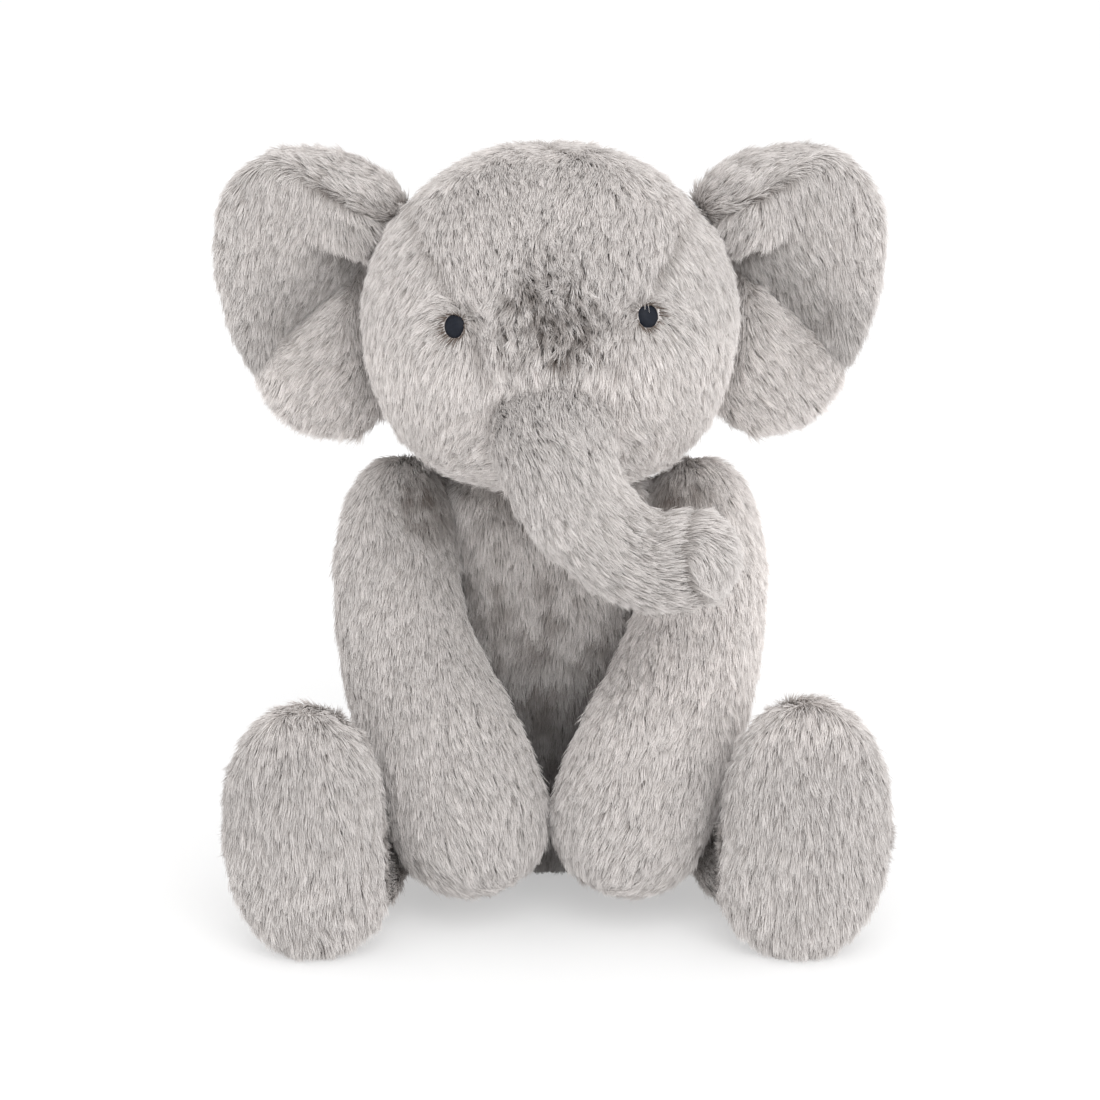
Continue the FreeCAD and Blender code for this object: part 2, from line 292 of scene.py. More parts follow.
def tube_mesh(name, path, radii, across=36, spacing=1.4 * MM):
    """A closed round tube along a smooth path, with half-ball ends."""
    points, sizes = smooth_path(path, radii, spacing)
    heading = unit(np.gradient(points, axis=0))
    caps = np.radians(np.arange(9, 90, 9))
    start = [(points[0] - heading[0] * sizes[0] * math.sin(a), sizes[0] * math.cos(a), heading[0]) for a in caps]
    end = [(points[-1] + heading[-1] * sizes[-1] * math.sin(a), sizes[-1] * math.cos(a), heading[-1]) for a in caps]
    rows = start[::-1] + list(zip(points, sizes, heading)) + end
    bm = bmesh.new()
    side = np.array([0.0, 1.0, 0.0]) if abs(heading[0][1]) < 0.5 else np.array([1.0, 0.0, 0.0])
    rings = []
    for centre, radius, direction in rows:
        side = unit(side - direction * side.dot(direction))
        up = np.cross(direction, side)
        turns = [2 * PI * i / across for i in range(across)]
        spots = [centre + radius * (side * math.cos(t) + up * math.sin(t)) for t in turns]
        rings.append([bm.verts.new(spot) for spot in spots])
    for low, high in zip(rings, rings[1:]):
        for i in range(across):
            j = (i + 1) % across
            bm.faces.new((low[i], low[j], high[j], high[i]))
    for ring, row, sign in ((rings[0], rows[0], -1), (rings[-1], rows[-1], 1)):
        pole = bm.verts.new(row[0] + row[2] * sign * row[1] * 0.12)
        for i in range(across):
            j = (i + 1) % across
            bm.faces.new((ring[i], ring[j], pole))
    bmesh.ops.recalc_face_normals(bm, faces=bm.faces)
    mesh = bpy.data.meshes.new(name)
    bm.to_mesh(mesh)
    bm.free()
    return new_object(name, mesh)


def smooth_path(path, radii, spacing):
    """Evenly spaced points and radii on a smooth curve through the path's points."""
    path = np.array(path, float)
    ends = np.vstack([2 * path[0] - path[1], path, 2 * path[-1] - path[-2]])
    points, sizes = [], []
    for i in range(1, len(ends) - 2):
        a, b, c, d = ends[i - 1 : i + 3]
        for t in np.linspace(0, 1, 20, endpoint=False):
            spot = 2 * b + (c - a) * t + (2 * a - 5 * b + 4 * c - d) * t**2 + (3 * b - a - 3 * c + d) * t**3
            points.append(spot / 2)
            sizes.append(radii[i - 1] * (1 - t) + radii[i] * t)
    points.append(path[-1])
    sizes.append(radii[-1])
    points, sizes = np.array(points), np.array(sizes)
    length = np.concatenate([[0], np.cumsum(np.linalg.norm(np.diff(points, axis=0), axis=1))])
    even = np.linspace(0, length[-1], max(4, int(length[-1] / spacing)))
    return np.stack([np.interp(even, length, points[:, i]) for i in range(3)], 1), np.interp(even, length, sizes)


# ---------------------------------------------------------------- materials

def node_material(name):
    material = bpy.data.materials.new(name)
    material.use_nodes = True
    tree = material.node_tree
    tree.nodes.clear()
    output = tree.nodes.new("ShaderNodeOutputMaterial")
    shader = tree.nodes.new("ShaderNodeBsdfPrincipled")
    tree.links.new(shader.outputs[0], output.inputs[0])
    return material, tree, shader


def ramp_node(tree, stops):
    ramp = tree.nodes.new("ShaderNodeValToRGB")
    elements = ramp.color_ramp.elements
    while len(elements) < len(stops):
        elements.new(0.5)
    for element, (place, colour) in zip(elements, stops):
        element.position = place
        element.color = (*colour, 1)
    return ramp


def attribute_node(tree, name):
    node = tree.nodes.new("ShaderNodeAttribute")
    node.attribute_name = name
    return node


def mix_colour(tree, factor, a, b, blend="MIX"):
    node = tree.nodes.new("ShaderNodeMix")
    node.data_type = "RGBA"
    node.blend_type = blend
    sockets = {socket.identifier: socket for socket in node.inputs}
    for name, value in (("Factor_Float", factor), ("A_Color", a), ("B_Color", b)):
        socket = sockets[name]
        if isinstance(value, (int, float)):
            socket.default_value = value
        elif isinstance(value, tuple):
            socket.default_value = (*value, 1)
        else:
            tree.links.new(value, socket)
    return next(socket for socket in node.outputs if socket.identifier == "Result_Color")


def maths(tree, operation, a, b=0.0):
    node = tree.nodes.new("ShaderNodeMath")
    node.operation = operation
    for socket, value in zip(node.inputs, (a, b)):
        if isinstance(value, (int, float)):
            socket.default_value = value
        else:
            tree.links.new(value, socket)
    return node.outputs[0]


def make_hair_material():
    """Dark roots, pale tips, brown in the partings and as painted shade, painted light and shade from the shade
    attribute, and each lock a little different.
    """
    material, tree, shader = node_material("plush_hair")
    along = tree.nodes.new("ShaderNodeHairInfo").outputs["Intercept"]
    ramp = ramp_node(tree, ((0.0, ROOT_COLOUR), (0.42, MIDDLE_COLOUR), (0.8, TIP_COLOUR)))
    tree.links.new(along, ramp.inputs[0])
    shade = attribute_node(tree, "shade").outputs["Fac"]
    dark = attribute_node(tree, "brown").outputs["Fac"]
    tinted = mix_colour(tree, dark, ramp.outputs[0], BROWN_COLOUR)
    grey = tree.nodes.new("ShaderNodeCombineColor")
    for i in range(3):
        tree.links.new(shade, grey.inputs[i])
    coloured = mix_colour(tree, 1.0, tinted, grey.outputs[0], "MULTIPLY")
    tree.links.new(coloured, shader.inputs["Base Color"])
    shader.inputs["Roughness"].default_value = 0.75
    shader.inputs["Specular IOR Level"].default_value = 0.18
    return material


def make_skin_material():
    """The cloth under the pile: pale on the locks, dark and brown between them, with a fine weave; brown also as
    painted shade, and painted light and shade from the shade attribute.
    """
    material, tree, shader = node_material("plush_fabric")
    height = attribute_node(tree, "lock").outputs["Fac"]
    ramp = ramp_node(tree, ((0.0, ROOT_COLOUR), (0.45, MIDDLE_COLOUR), (1.0, TIP_COLOUR)))
    tree.links.new(height, ramp.inputs[0])
    brown = attribute_node(tree, "brown").outputs["Fac"]
    tinted = mix_colour(tree, brown, ramp.outputs[0], BROWN_COLOUR)
    texture = tree.nodes.new("ShaderNodeTexCoord")
    grain = tree.nodes.new("ShaderNodeTexNoise")
    grain.inputs["Scale"].default_value = 900
    grain.inputs["Detail"].default_value = 4
    tree.links.new(texture.outputs["Object"], grain.inputs["Vector"])
    soft = maths(tree, "MULTIPLY_ADD", grain.outputs["Fac"], 0.35)
    soft.node.inputs[2].default_value = 0.82
    soft = maths(tree, "MULTIPLY", soft, attribute_node(tree, "shade").outputs["Fac"])
    grey = tree.nodes.new("ShaderNodeCombineColor")
    for i in range(3):
        tree.links.new(soft, grey.inputs[i])
    tree.links.new(mix_colour(tree, 1.0, tinted, grey.outputs[0], "MULTIPLY"), shader.inputs["Base Color"])
    relief = tree.nodes.new("ShaderNodeBump")
    relief.inputs["Strength"].default_value = 0.4
    relief.inputs["Distance"].default_value = 0.6 * MM
    tree.links.new(grain.outputs["Fac"], relief.inputs["Height"])
    tree.links.new(relief.outputs[0], shader.inputs["Normal"])
    shader.inputs["Roughness"].default_value = 0.9
    shader.inputs["Sheen Weight"].default_value = 0.3
    return material


HAIR_MATERIAL = make_hair_material()
SKIN_MATERIAL = make_skin_material()


# ---------------------------------------------------------------- pile

def store(data, name, domain, values):
    attribute = data.attributes.get(name) or data.attributes.new(name, "FLOAT", domain)
    attribute.data.foreach_set("value", np.asarray(values, np.float32))


def lock_relief(obj, coat):
    """Raises the locks of the pile in the mesh itself, and notes their height, their tint and their painted light
    and shade for the material.
    """
    mesh = obj.data
    points, normals = vertex_array(mesh), vertex_array(mesh, "normal")
    flow = tangent(coat.flow(points, normals), normals)
    centre, distance, pick = lock_cells(points, flow, LOCK_SIZE, 3)
    lean = np.sum((points - centre) * flow, axis=1) / LOCK_SIZE
    height = np.clip(1 - distance / LOCK_SIZE * 1.3, 0, 1) * 0.8 + np.clip(lean, -0.4, 0.4) * 0.5
    fine = lock_cells(points, flow, LOCK_SIZE * 0.45, 5)
    height += np.clip(1 - fine[1] / LOCK_SIZE * 2.6, 0, 1) * 0.35
    short = coat.length(points, normals)
    moved = points + normals * (height * short * LOCK_HEIGHT)[:, None]
    moved[:, 2] = np.maximum(moved[:, 2], np.minimum(points[:, 2], FLOOR_GAP))
    set_vertices(mesh, moved)
    store(mesh, "lock", "POINT", np.clip(height * 0.75 + 0.35 + (pick - 0.5) * 0.2, 0, 1))
    store(mesh, "brown", "POINT", coat.brown(points, normals) * 0.8)
    store(mesh, "shade", "POINT", coat.shade(points, normals))
    mesh.materials.clear()
    mesh.materials.append(SKIN_MATERIAL)
    for polygon in mesh.polygons:
        polygon.use_smooth = True


def constant(value):
    """The same value at every point."""
    return lambda p, n: np.full(len(p), value)


class Coat:
    """How the pile lies on one part. Each is a function of points and normals; a part gives those that differ."""

    def __init__(self, flow, brown=None, length=None, keep=None, ruffle=None, shade=None):
        self.flow = flow
        self.brown = brown or constant(0.0)
        self.length = length or constant(1.0)
        self.keep = keep or constant(True)
        self.ruffle = ruffle or constant(0.0)
        self.shade = shade or constant(1.0)


def scattered(mesh, count, rng):
    """Random points on a mesh, with smooth normals."""
    mesh.calc_loop_triangles()
    corners = np.zeros(len(mesh.loop_triangles) * 3, np.int32)
    mesh.loop_triangles.foreach_get("vertices", corners)
    corners = corners.reshape(-1, 3)
    points, normals = vertex_array(mesh), vertex_array(mesh, "normal")
    a, b, c = (points[corners[:, i]] for i in range(3))
    areas = np.linalg.norm(np.cross(b - a, c - a), axis=1) / 2
    chosen = rng.choice(len(areas), count, p=areas / areas.sum())
    u, v = rng.random(count), rng.random(count)
    flip = u + v > 1
    u, v = np.where(flip, 1 - u, u), np.where(flip, 1 - v, v)
    weights = np.stack([1 - u - v, u, v], 1)[:, :, None]
    spots = np.sum(points[corners[chosen]] * weights, axis=1)
    return spots, unit(np.sum(normals[corners[chosen]] * weights, axis=1))


def mesh_area(mesh):
    return sum(polygon.area for polygon in mesh.polygons)


def grow_hair(obj, body, coat, seed):
    """A coat of hair over a skin: each strand rises, lies over with the flow, and joins its lock."""
    rng = np.random.default_rng(seed)
    density = STRANDS_PER_M2 * 1.0
    roots, normals = scattered(obj.data, int(mesh_area(obj.data) * density), rng)
    keep = coat.keep(roots, normals) & (roots[:, 2] > LOWEST_ROOT)
    roots, normals = roots[keep], normals[keep]
    count = len(roots)
    ruffle = coat.ruffle(roots, normals)[:, None]
    swirl = noise(roots, WANDER_WIDE[0], 11) * WANDER_WIDE[1] + noise(roots, WANDER_CLOSE[0], 12) * WANDER_CLOSE[1]
    swirl += noise(roots, WANDER_TANGLE[0], 13) * WANDER_TANGLE[1] * ruffle
    flow = tangent(coat.flow(roots, normals) + swirl, normals)
    centre, _, pick = lock_cells(roots, flow, LOCK_SIZE, 3)
    turn = hashed(np.floor(centre / (0.05 * MM)).astype(np.int64), 21) * 2 - 1
    flow = tangent(flow + turn * (0.15 + 0.3 * ruffle) + rng.normal(size=(count, 3)) * 0.12, normals)
    length = PILE * coat.length(roots, normals) * (0.78 + 0.3 * pick) * rng.uniform(0.72, 1.08, count)
    lift = np.radians(LEAN + LEAN_OF_LOCK * turn[:, 0] + LEAN_OF_TANGLE * ruffle[:, 0])
    lift = lift + rng.normal(size=count) * LEAN_SPREAD
    inward = centre - roots
    inward -= normals * np.sum(inward * normals, axis=1)[:, None]
    reach = length[:, None]
    rise = np.sin(lift)[:, None]
    tips = roots + flow * reach * np.cos(lift)[:, None] + normals * reach * rise + inward * GATHER
    tips[:, 2] -= SAG * length
    tips += noise(tips, 2.5 * MM, 31) * 0.5 * MM
    bend = roots + normals * reach * (0.30 + 0.25 * rise) + flow * reach * 0.22 + inward * 0.1
    strand = np.zeros((count, STRAND_POINTS, 3), np.float32)
    for i in range(STRAND_POINTS):
        t = i / (STRAND_POINTS - 1)
        strand[:, i] = roots * (1 - t) ** 2 + bend * 2 * t * (1 - t) + tips * t**2
    strand[:, :, 2] = np.maximum(strand[:, :, 2], FLOOR_GAP)
    curves = bpy.data.hair_curves.new(obj.name + "_hair")
    curves.add_curves([STRAND_POINTS] * count)
    curves.points.foreach_set("position", strand.ravel())
    thick = 1.0
    store(curves, "radius", "POINT", np.tile(np.array(STRAND_RADII) * thick, count))
    tone = 0.93 + 0.14 * pick + noise(roots, 30 * MM, 41)[:, 0] * 0.05 + rng.normal(size=count) * 0.03
    store(curves, "shade", "CURVE", np.clip(tone, 0.6, 1.15) * coat.shade(roots, normals))
    store(curves, "brown", "CURVE", np.clip(coat.brown(roots, normals), 0, 0.9))
    curves.materials.append(HAIR_MATERIAL)
    hair = bpy.data.objects.new(obj.name + "_hair", curves)
    bpy.context.scene.collection.objects.link(hair)
    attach(hair, body)


def dress(obj, body, coat, nodes, seed):
    """Gives a skin its locks, its hair and its body, and hides the CAD nodes it stands for."""
    grow_hair(obj, body, coat, seed)
    lock_relief(obj, coat)
    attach(obj, body)
    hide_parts(*nodes)


def joint_point(name):
    return np.array(next(j["pos_m"] for j in frame["joints"] if j["name"] == name))


def box_of(node):
    low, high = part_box(node)
    return np.array(low), np.array(high)


def middle(node):
    low, high = box_of(node)
    return (low + high) / 2


def body_nodes(body):
    return list(frame["record"]["behaviour"]["bodies"][body])


# ---------------------------------------------------------------- head

HEAD_LOW, HEAD_HIGH = box_of("head_filling")
HEAD_CENTRE = (HEAD_LOW + HEAD_HIGH) / 2
HEAD_HALF = (HEAD_HIGH - HEAD_LOW) / 2
EYES = {name: middle("eye_" + name) for name in SIDES}
EYE_HALF = (4.5 * MM, 4.8 * MM)
TRUNK_ROOT = joint_point("trunk_lift")
MUZZLE_Z = TRUNK_ROOT[2] - 1 * MM
MUZZLE_WIDTH = 31 * MM
MUZZLE_FORWARD = 13 * MM
CROWN_RISE = 3.2 * MM
HEAD_CORE = 1.015
EYE_REACH = 9 * MM
EYE_DENT = 2.4 * MM
GUSSET_GROOVE = 0.6 * MM
BROW_GROOVE = 1.3 * MM
BARE_UNDER_TRUNK = 12 * MM


def seam_table():
    """Half width of the forehead panel at each height, read from its CAD node."""
    points = vertex_array(frame["nodes"]["head_gusset"].data)
    points = points[points[:, 1] < HEAD_CENTRE[1] - 5 * MM]
    low, high = points[:, 2].min(), points[:, 2].max()
    heights = np.linspace(low, high, 26)
    widths = []
    for height in heights:
        near = points[np.abs(points[:, 2] - height) < 2.5 * MM]
        widths.append(np.abs(near[:, 0]).max())
    return heights, np.array(widths)


SEAM_HEIGHTS, SEAM_WIDTHS = seam_table()
BROW_Z = SEAM_HEIGHTS[0]
BROW_EDGE = BROW_Z + 7 * MM


def on_face(p):
    return p[:, 1] < HEAD_CENTRE[1]


def seam_distance(p):
    """Distance outside the forehead panel's side seams, negative inside it."""
    edge = np.interp(p[:, 2], SEAM_HEIGHTS, SEAM_WIDTHS)
    return (np.abs(p[:, 0]) - edge) * 0.85


def near_eye(p, width):
    """How near a point is to either eye, 1 at its middle, and the way out from it."""
    weight = np.zeros(len(p))
    away = np.zeros_like(p)
    for spot in EYES.values():
        gap = p - spot
        strength = bump(np.linalg.norm(gap, axis=1), width)
        weight = np.maximum(weight, strength)
        away += unit(gap) * strength[:, None]
    return weight, away


def head_flow(p, n):
    """Down the forehead, out over the cheeks, away from the eyes, and over the root of the trunk."""
    back = np.clip((p[:, 1] - HEAD_CENTRE[1]) / (30 * MM), -1, 1)[:, None]
    side = np.sign(p[:, 0])[:, None]
    gusset = np.array([0.0, 0.0, -0.75]) + back * np.array([0.0, 0.8, 0.0])
    cheek = np.hstack([side * 0.62, back * 0.2, np.full((len(p), 1), -0.8)])
    outside = np.clip(seam_distance(p) / (4 * MM) + 0.5, 0, 1)
    outside = np.where(p[:, 2] < BROW_Z, 1.0, outside)[:, None]
    front = np.clip(-(p[:, 1] - HEAD_CENTRE[1]) / (20 * MM), 0, 1)[:, None]
    rear = np.array([0.0, 0.0, -0.8]) + back * np.array([0.0, 0.7, 0.0]) + side * np.array([0.15, 0.0, 0.0])
    flow = (gusset * (1 - outside) + cheek * outside) * front + rear * (1 - front)
    _, away = near_eye(p, 11 * MM)
    trunk = p - TRUNK_ROOT
    trunk[:, 1] = 0
    ring = bump(np.linalg.norm(trunk, axis=1) - 26 * MM, 10 * MM)[:, None]
    beside = np.clip((-5 * MM - trunk[:, 2]) / (10 * MM), 0, 1)[:, None]
    over = np.array([0.0, -0.4, -0.8])
    return flow + away * 2.2 + unit(trunk) * ring * beside * 0.35 + over * ring * (1 - beside)


def brow_patch(p):
    """1 over the tangled patch between the eyes, falling to 0 outside it."""
    reach = np.hypot(p[:, 0] / (21 * MM), (p[:, 2] - BROW_EDGE - 13 * MM) / (22 * MM))
    above = np.clip((p[:, 2] - BROW_EDGE) / (3 * MM) + 0.5, 0, 1)
    return np.clip(1.5 * bump(reach, 1.0), 0, 1) * above * on_face(p)


def brow_line(p, width):
    """How near a point is to the lower edge of the patch, 1 on it."""
    return bump(p[:, 2] - BROW_EDGE, width) * bump(p[:, 0], 20 * MM) * on_face(p)


def head_brown(p, n):
    patch = brow_patch(p)
    streak = noise(p * np.array([1, 1, 0.5]), 1.7 * MM, 51)[:, 0] * 1.3 + noise(p, 8 * MM, 52)[:, 0] * 0.5
    brow = brow_line(p, 2.5 * MM) * 0.3
    seam = bump(seam_distance(p), 1.5 * MM) * (p[:, 2] > BROW_Z) * 0.2
    amount = (patch * 0.52 + brow) * np.clip(0.4 + streak, 0, 1.1) + seam
    # Painted shadow: a dark brown ring round each eye, on the bare skin and the nearest roots.
    return np.maximum(np.clip(amount * on_face(p), 0, 0.9), under_eye(p, 0.9))


def under_eye(p, size):
    """Which points lie under an eye, on an oval of so many times its size."""
    inside = np.zeros(len(p), bool)
    for spot in EYES.values():
        gap = p - spot
        oval = (gap[:, 0] / (EYE_HALF[0] * size)) ** 2 + (gap[:, 2] / (EYE_HALF[1] * size)) ** 2
        inside |= (oval < 1) & on_face(p)
    return inside


def head_length(p, n):
    weight, _ = near_eye(p, EYE_REACH)
    over = bump(p[:, 0] - TRUNK_ROOT[0], 22 * MM) * bump(p[:, 2] - TRUNK_ROOT[2] - 13 * MM, 7 * MM)
    return 1 - 0.6 * weight + 0.35 * over * on_face(p)


def head_keep(p, n):
    under_trunk = np.linalg.norm(p - TRUNK_ROOT, axis=1) < BARE_UNDER_TRUNK
    return ~under_eye(p, 0.8) & ~under_trunk


# Painted light and shade: the cheeks lighter, the forehead darker.
def head_shade(p, n):
    return np.interp(p[:, 2] - BROW_Z, [-30 * MM, 0, 18 * MM], [1.06, 1.04, 0.96])


def make_head():
    head = skin_from("head_skin", "head_filling", core=(HEAD_CENTRE, HEAD_HALF * HEAD_CORE))
    p, n = vertex_array(head.data), vertex_array(head.data, "normal")
    weight, _ = near_eye(p, EYE_REACH)
    seam = bump(seam_distance(p), 2.6 * MM) * (p[:, 2] > BROW_Z) * on_face(p)
    sunk = weight * EYE_DENT + seam * GUSSET_GROOVE + brow_line(p, 2.6 * MM) * BROW_GROOVE
    p = p - n * sunk[:, None]
    p[:, 2] += np.clip((p[:, 2] - HEAD_CENTRE[2]) / HEAD_HALF[2], 0, 1) ** 2 * CROWN_RISE
    muzzle = np.hypot(p[:, 0] - TRUNK_ROOT[0], (p[:, 2] - MUZZLE_Z) * np.where(p[:, 2] > MUZZLE_Z, 1.15, 0.9))
    p[:, 1] -= bump(muzzle, MUZZLE_WIDTH) * on_face(p) * MUZZLE_FORWARD
    set_vertices(head.data, p)
    nodes = [node for node in body_nodes("head") if not node.startswith("eye")]
    coat = Coat(head_flow, head_brown, head_length, head_keep, lambda p, n: brow_patch(p), head_shade)
    dress(head, "head", coat, nodes, 1)
    for name in SIDES:
        make_eye(name, p, vertex_array(head.data, "normal"))


def make_eye_material():
    material, tree, shader = node_material("eye_thread")
    texture = tree.nodes.new("ShaderNodeTexCoord")
    wave = tree.nodes.new("ShaderNodeTexWave")
    wave.bands_direction = "Z"
    wave.inputs["Scale"].default_value = 700
    wave.inputs["Distortion"].default_value = 1.5
    tree.links.new(texture.outputs["Object"], wave.inputs["Vector"])
    ramp = ramp_node(tree, ((0.0, (0.003, 0.004, 0.007)), (1.0, (0.011, 0.015, 0.027))))
    tree.links.new(wave.outputs["Fac"], ramp.inputs[0])
    tree.links.new(ramp.outputs[0], shader.inputs["Base Color"])
    shader.inputs["Roughness"].default_value = 0.5
    shader.inputs["Specular IOR Level"].default_value = 0.22
    return material


EYE_MATERIAL = make_eye_material()
THREAD_PITCH = 0.5 * MM
EYE_HEIGHT = 1.9 * MM
EYE_BACK = 2.6 * MM


def make_eye(name, skin, normals):
    """A raised oval of satin stitches: a closed dome with one ridge for each thread, set on the head's skin."""
    gap = skin - EYES[name]
    near = (np.hypot(gap[:, 0], gap[:, 2]) < 3 * MM) & on_face(skin)
    out = unit(unit(EYES[name] - HEAD_CENTRE) + unit(normals[near].mean(axis=0)))
    spot = skin[near].mean(axis=0)
    across = unit(np.cross(out, [0.0, 0.0, 1.0]))
    up = np.cross(across, out)
    rings, segments = 40, 96
    bm = bmesh.new()
    layers = []
    for i in range(rings + 1):
        share = 1 - i / rings
        row = []
        for j in range(segments if i < rings else 1):
            turn = 2 * PI * j / segments
            x, z = math.cos(turn) * share * EYE_HALF[0], math.sin(turn) * share * EYE_HALF[1]
            thread = math.sqrt(abs(math.cos(PI * (z + 0.12 * x) / THREAD_PITCH)))
            height = EYE_HEIGHT * (1 - share**2.6) + 0.13 * MM * thread * (share < 0.98)
            row.append(bm.verts.new(spot + across * x + up * z + out * height))
        layers.append(row)
    for low, high in zip(layers, layers[1:]):
        for j in range(segments):
            k = (j + 1) % segments
            ends = (high[j], high[k]) if len(high) > 1 else (high[0],)
            bm.faces.new((low[j], low[k], *reversed(ends)))
    back = bm.verts.new(spot - out * EYE_BACK)
    for j in range(segments):
        bm.faces.new((layers[0][(j + 1) % segments], layers[0][j], back))
    bmesh.ops.recalc_face_normals(bm, faces=bm.faces)
    mesh = bpy.data.meshes.new(f"eye_{name}_stitches")
    bm.to_mesh(mesh)
    bm.free()
    eye = new_object(mesh.name, mesh)
    mesh.materials.append(EYE_MATERIAL)
    for polygon in mesh.polygons:
        polygon.use_smooth = True
    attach(eye, "head")
    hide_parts("eye_" + name)


# ---------------------------------------------------------------- trunk

TRUNK_BEND = joint_point("trunk_curl")
TRUNK_END = TRUNK_BEND + np.array([38.5, -12.0, -13.0]) * MM
UPPER_PATH = [
    TRUNK_ROOT + np.array([0.0, 2.0, -10.5]) * MM,
    TRUNK_ROOT + np.array([1.0, -20.0, -16.0]) * MM,
    TRUNK_BEND + np.array([-6.5, 6.5, 13.0]) * MM,
    TRUNK_BEND,
]
UPPER_RADII = [16.0 * MM, 18.4 * MM, 17.8 * MM, 15.8 * MM]
TRUNK_SPREAD = 0.45
TRUNK_SPREAD_REACH = 36 * MM
TIP_PATH = [
    TRUNK_BEND,
    TRUNK_BEND + np.array([13.0, -4.0, -10.5]) * MM,
    TRUNK_BEND + np.array([26.5, -8.0, -15.0]) * MM,
    TRUNK_END,
]
TIP_RADII = [15.8 * MM, 15.2 * MM, 14.8 * MM, 15.0 * MM]
TRUNK_HAIR_DEPTH = 16 * MM
TRUNK_SHADE = 0.91
END_SEAM_AT = 1.5 * MM
END_SEAM_DEPTH = 1.6 * MM


def path_flow(path):
    """A flow that follows a path."""
    spots, _ = smooth_path(path, [1.0] * len(path), 4 * MM)
    heading = unit(np.gradient(spots, axis=0))

    def flow(p, n):
        gaps = np.linalg.norm(p[:, None, :] - spots[None], axis=2)
        nearest = np.argmin(gaps, axis=1)
        return heading[nearest]

    return flow


def make_trunk():
    upper = tube_mesh("trunk_upper_skin", UPPER_PATH, UPPER_RADII)
    tip = tube_mesh("trunk_tip_skin", TIP_PATH, TIP_RADII)
    p = vertex_array(upper.data)
    spread = np.clip((p[:, 1] - TRUNK_ROOT[1] + TRUNK_SPREAD_REACH) / TRUNK_SPREAD_REACH, 0, 1) ** 1.5
    p[:, 0] += (p[:, 0] - TRUNK_ROOT[0]) * TRUNK_SPREAD * spread
    set_vertices(upper.data, p)
    for part in (upper, tip):
        p, n = vertex_array(part.data), vertex_array(part.data, "normal")
        set_vertices(part.data, p + n * noise(p, 14 * MM, 61)[:, :1] * 0.9 * MM)
    end_heading = unit(TIP_PATH[-1] - TIP_PATH[-2])
    along_tip = path_flow(TIP_PATH)
    p, n = vertex_array(tip.data), vertex_array(tip.data, "normal")
    seam = (p - TRUNK_END) @ end_heading - END_SEAM_AT
    set_vertices(tip.data, p - n * (bump(seam, 2.4 * MM) * END_SEAM_DEPTH)[:, None])

    def tip_flow(p, n):
        past = np.clip((p - TRUNK_END) @ end_heading / (8 * MM), 0, 1)[:, None]
        outward = p - TRUNK_END
        outward = unit(outward - (outward @ end_heading)[:, None] * end_heading)
        return along_tip(p, n) * (1 - past) + (outward * 0.4 + np.array([0.5, 0.0, -0.8])) * past

    def crease(p, n):
        return bump((p - TRUNK_END) @ end_heading - END_SEAM_AT, 2.2 * MM) * 0.3

    in_front = lambda p, n: p[:, 1] < HEAD_LOW[1] + TRUNK_HAIR_DEPTH
    end_pole = TRUNK_END + end_heading * TIP_RADII[-1]
    stand = lambda p, n: bump(np.linalg.norm(p - end_pole, axis=1), 8 * MM) * 0.8
    upper_coat = Coat(path_flow(UPPER_PATH), keep=in_front, shade=constant(TRUNK_SHADE))
    tip_coat = Coat(tip_flow, crease, ruffle=stand, shade=constant(TRUNK_SHADE))
    dress(upper, "trunk_upper", upper_coat, body_nodes("trunk_upper"), 2)
    dress(tip, "trunk_tip", tip_coat, body_nodes("trunk_tip"), 3)


# ---------------------------------------------------------------- torso, neck and tail

# The torso widens and rises towards the shoulders, from this height on
SHOULDER_Z = 105 * MM
SHOULDER_HEIGHT = 40 * MM
SHOULDER_WIDER = 0.84
SHOULDER_DEEPER = 0.18
SHOULDER_RISE = 10 * MM
# The collar is the neck's filling, stretched in each direction and lifted
COLLAR_STRETCH = np.array([2.15, 1.9, 0.6])
COLLAR_LIFT = 3 * MM
COLLAR_BROWN = 0.4


def down_flow(p, n):
    return np.tile([0.0, -0.12, -1.0], (len(p), 1))


def make_torso():
    torso = skin_from("torso_skin", "torso_filling")
    p = vertex_array(torso.data)
    rise = np.clip((p[:, 2] - SHOULDER_Z) / SHOULDER_HEIGHT, 0, 1) ** 1.5
    p[:, 0] *= 1 + SHOULDER_WIDER * rise
    p[:, 1] += (p[:, 1] - HEAD_CENTRE[1]) * SHOULDER_DEEPER * rise
    p[:, 2] += SHOULDER_RISE * rise
    set_vertices(torso.data, p)
    chest = lambda p: bump(p[:, 0], 46 * MM) * (p[:, 1] < -15 * MM)
    # Brown mottling on the chest, partly brown roots and partly painted shade.
    chest_mottle_and_shade = lambda p, n: np.clip(0.14 + 0.45 * noise(p, 5 * MM, 81)[:, 0], 0, 0.8) * chest(p)
    # Painted shade darkens the chest towards its low end, between the arms; higher up, painted light makes it a
    # little lighter.
    shade = lambda p, n: 1 + (0.1 - 0.72 * bump(np.maximum(p[:, 2] - 62 * MM, 0), 36 * MM)) * chest(p)
    dress(torso, "torso", Coat(down_flow, chest_mottle_and_shade, shade=shade), body_nodes("torso"), 4)
    centre = middle("neck_filling")
    neck = remeshed(copied("neck_skin", ["neck_filling"]), 2 * MM)
    stretched = centre + (vertex_array(neck.data) - centre) * COLLAR_STRETCH
    set_vertices(neck.data, stretched + np.array([0, 0, COLLAR_LIFT]))
    neck = subdivided(remeshed(neck, 3 * MM), 1)
    dress(neck, "neck", Coat(down_flow, constant(COLLAR_BROWN)), ["neck_filling"], 5)


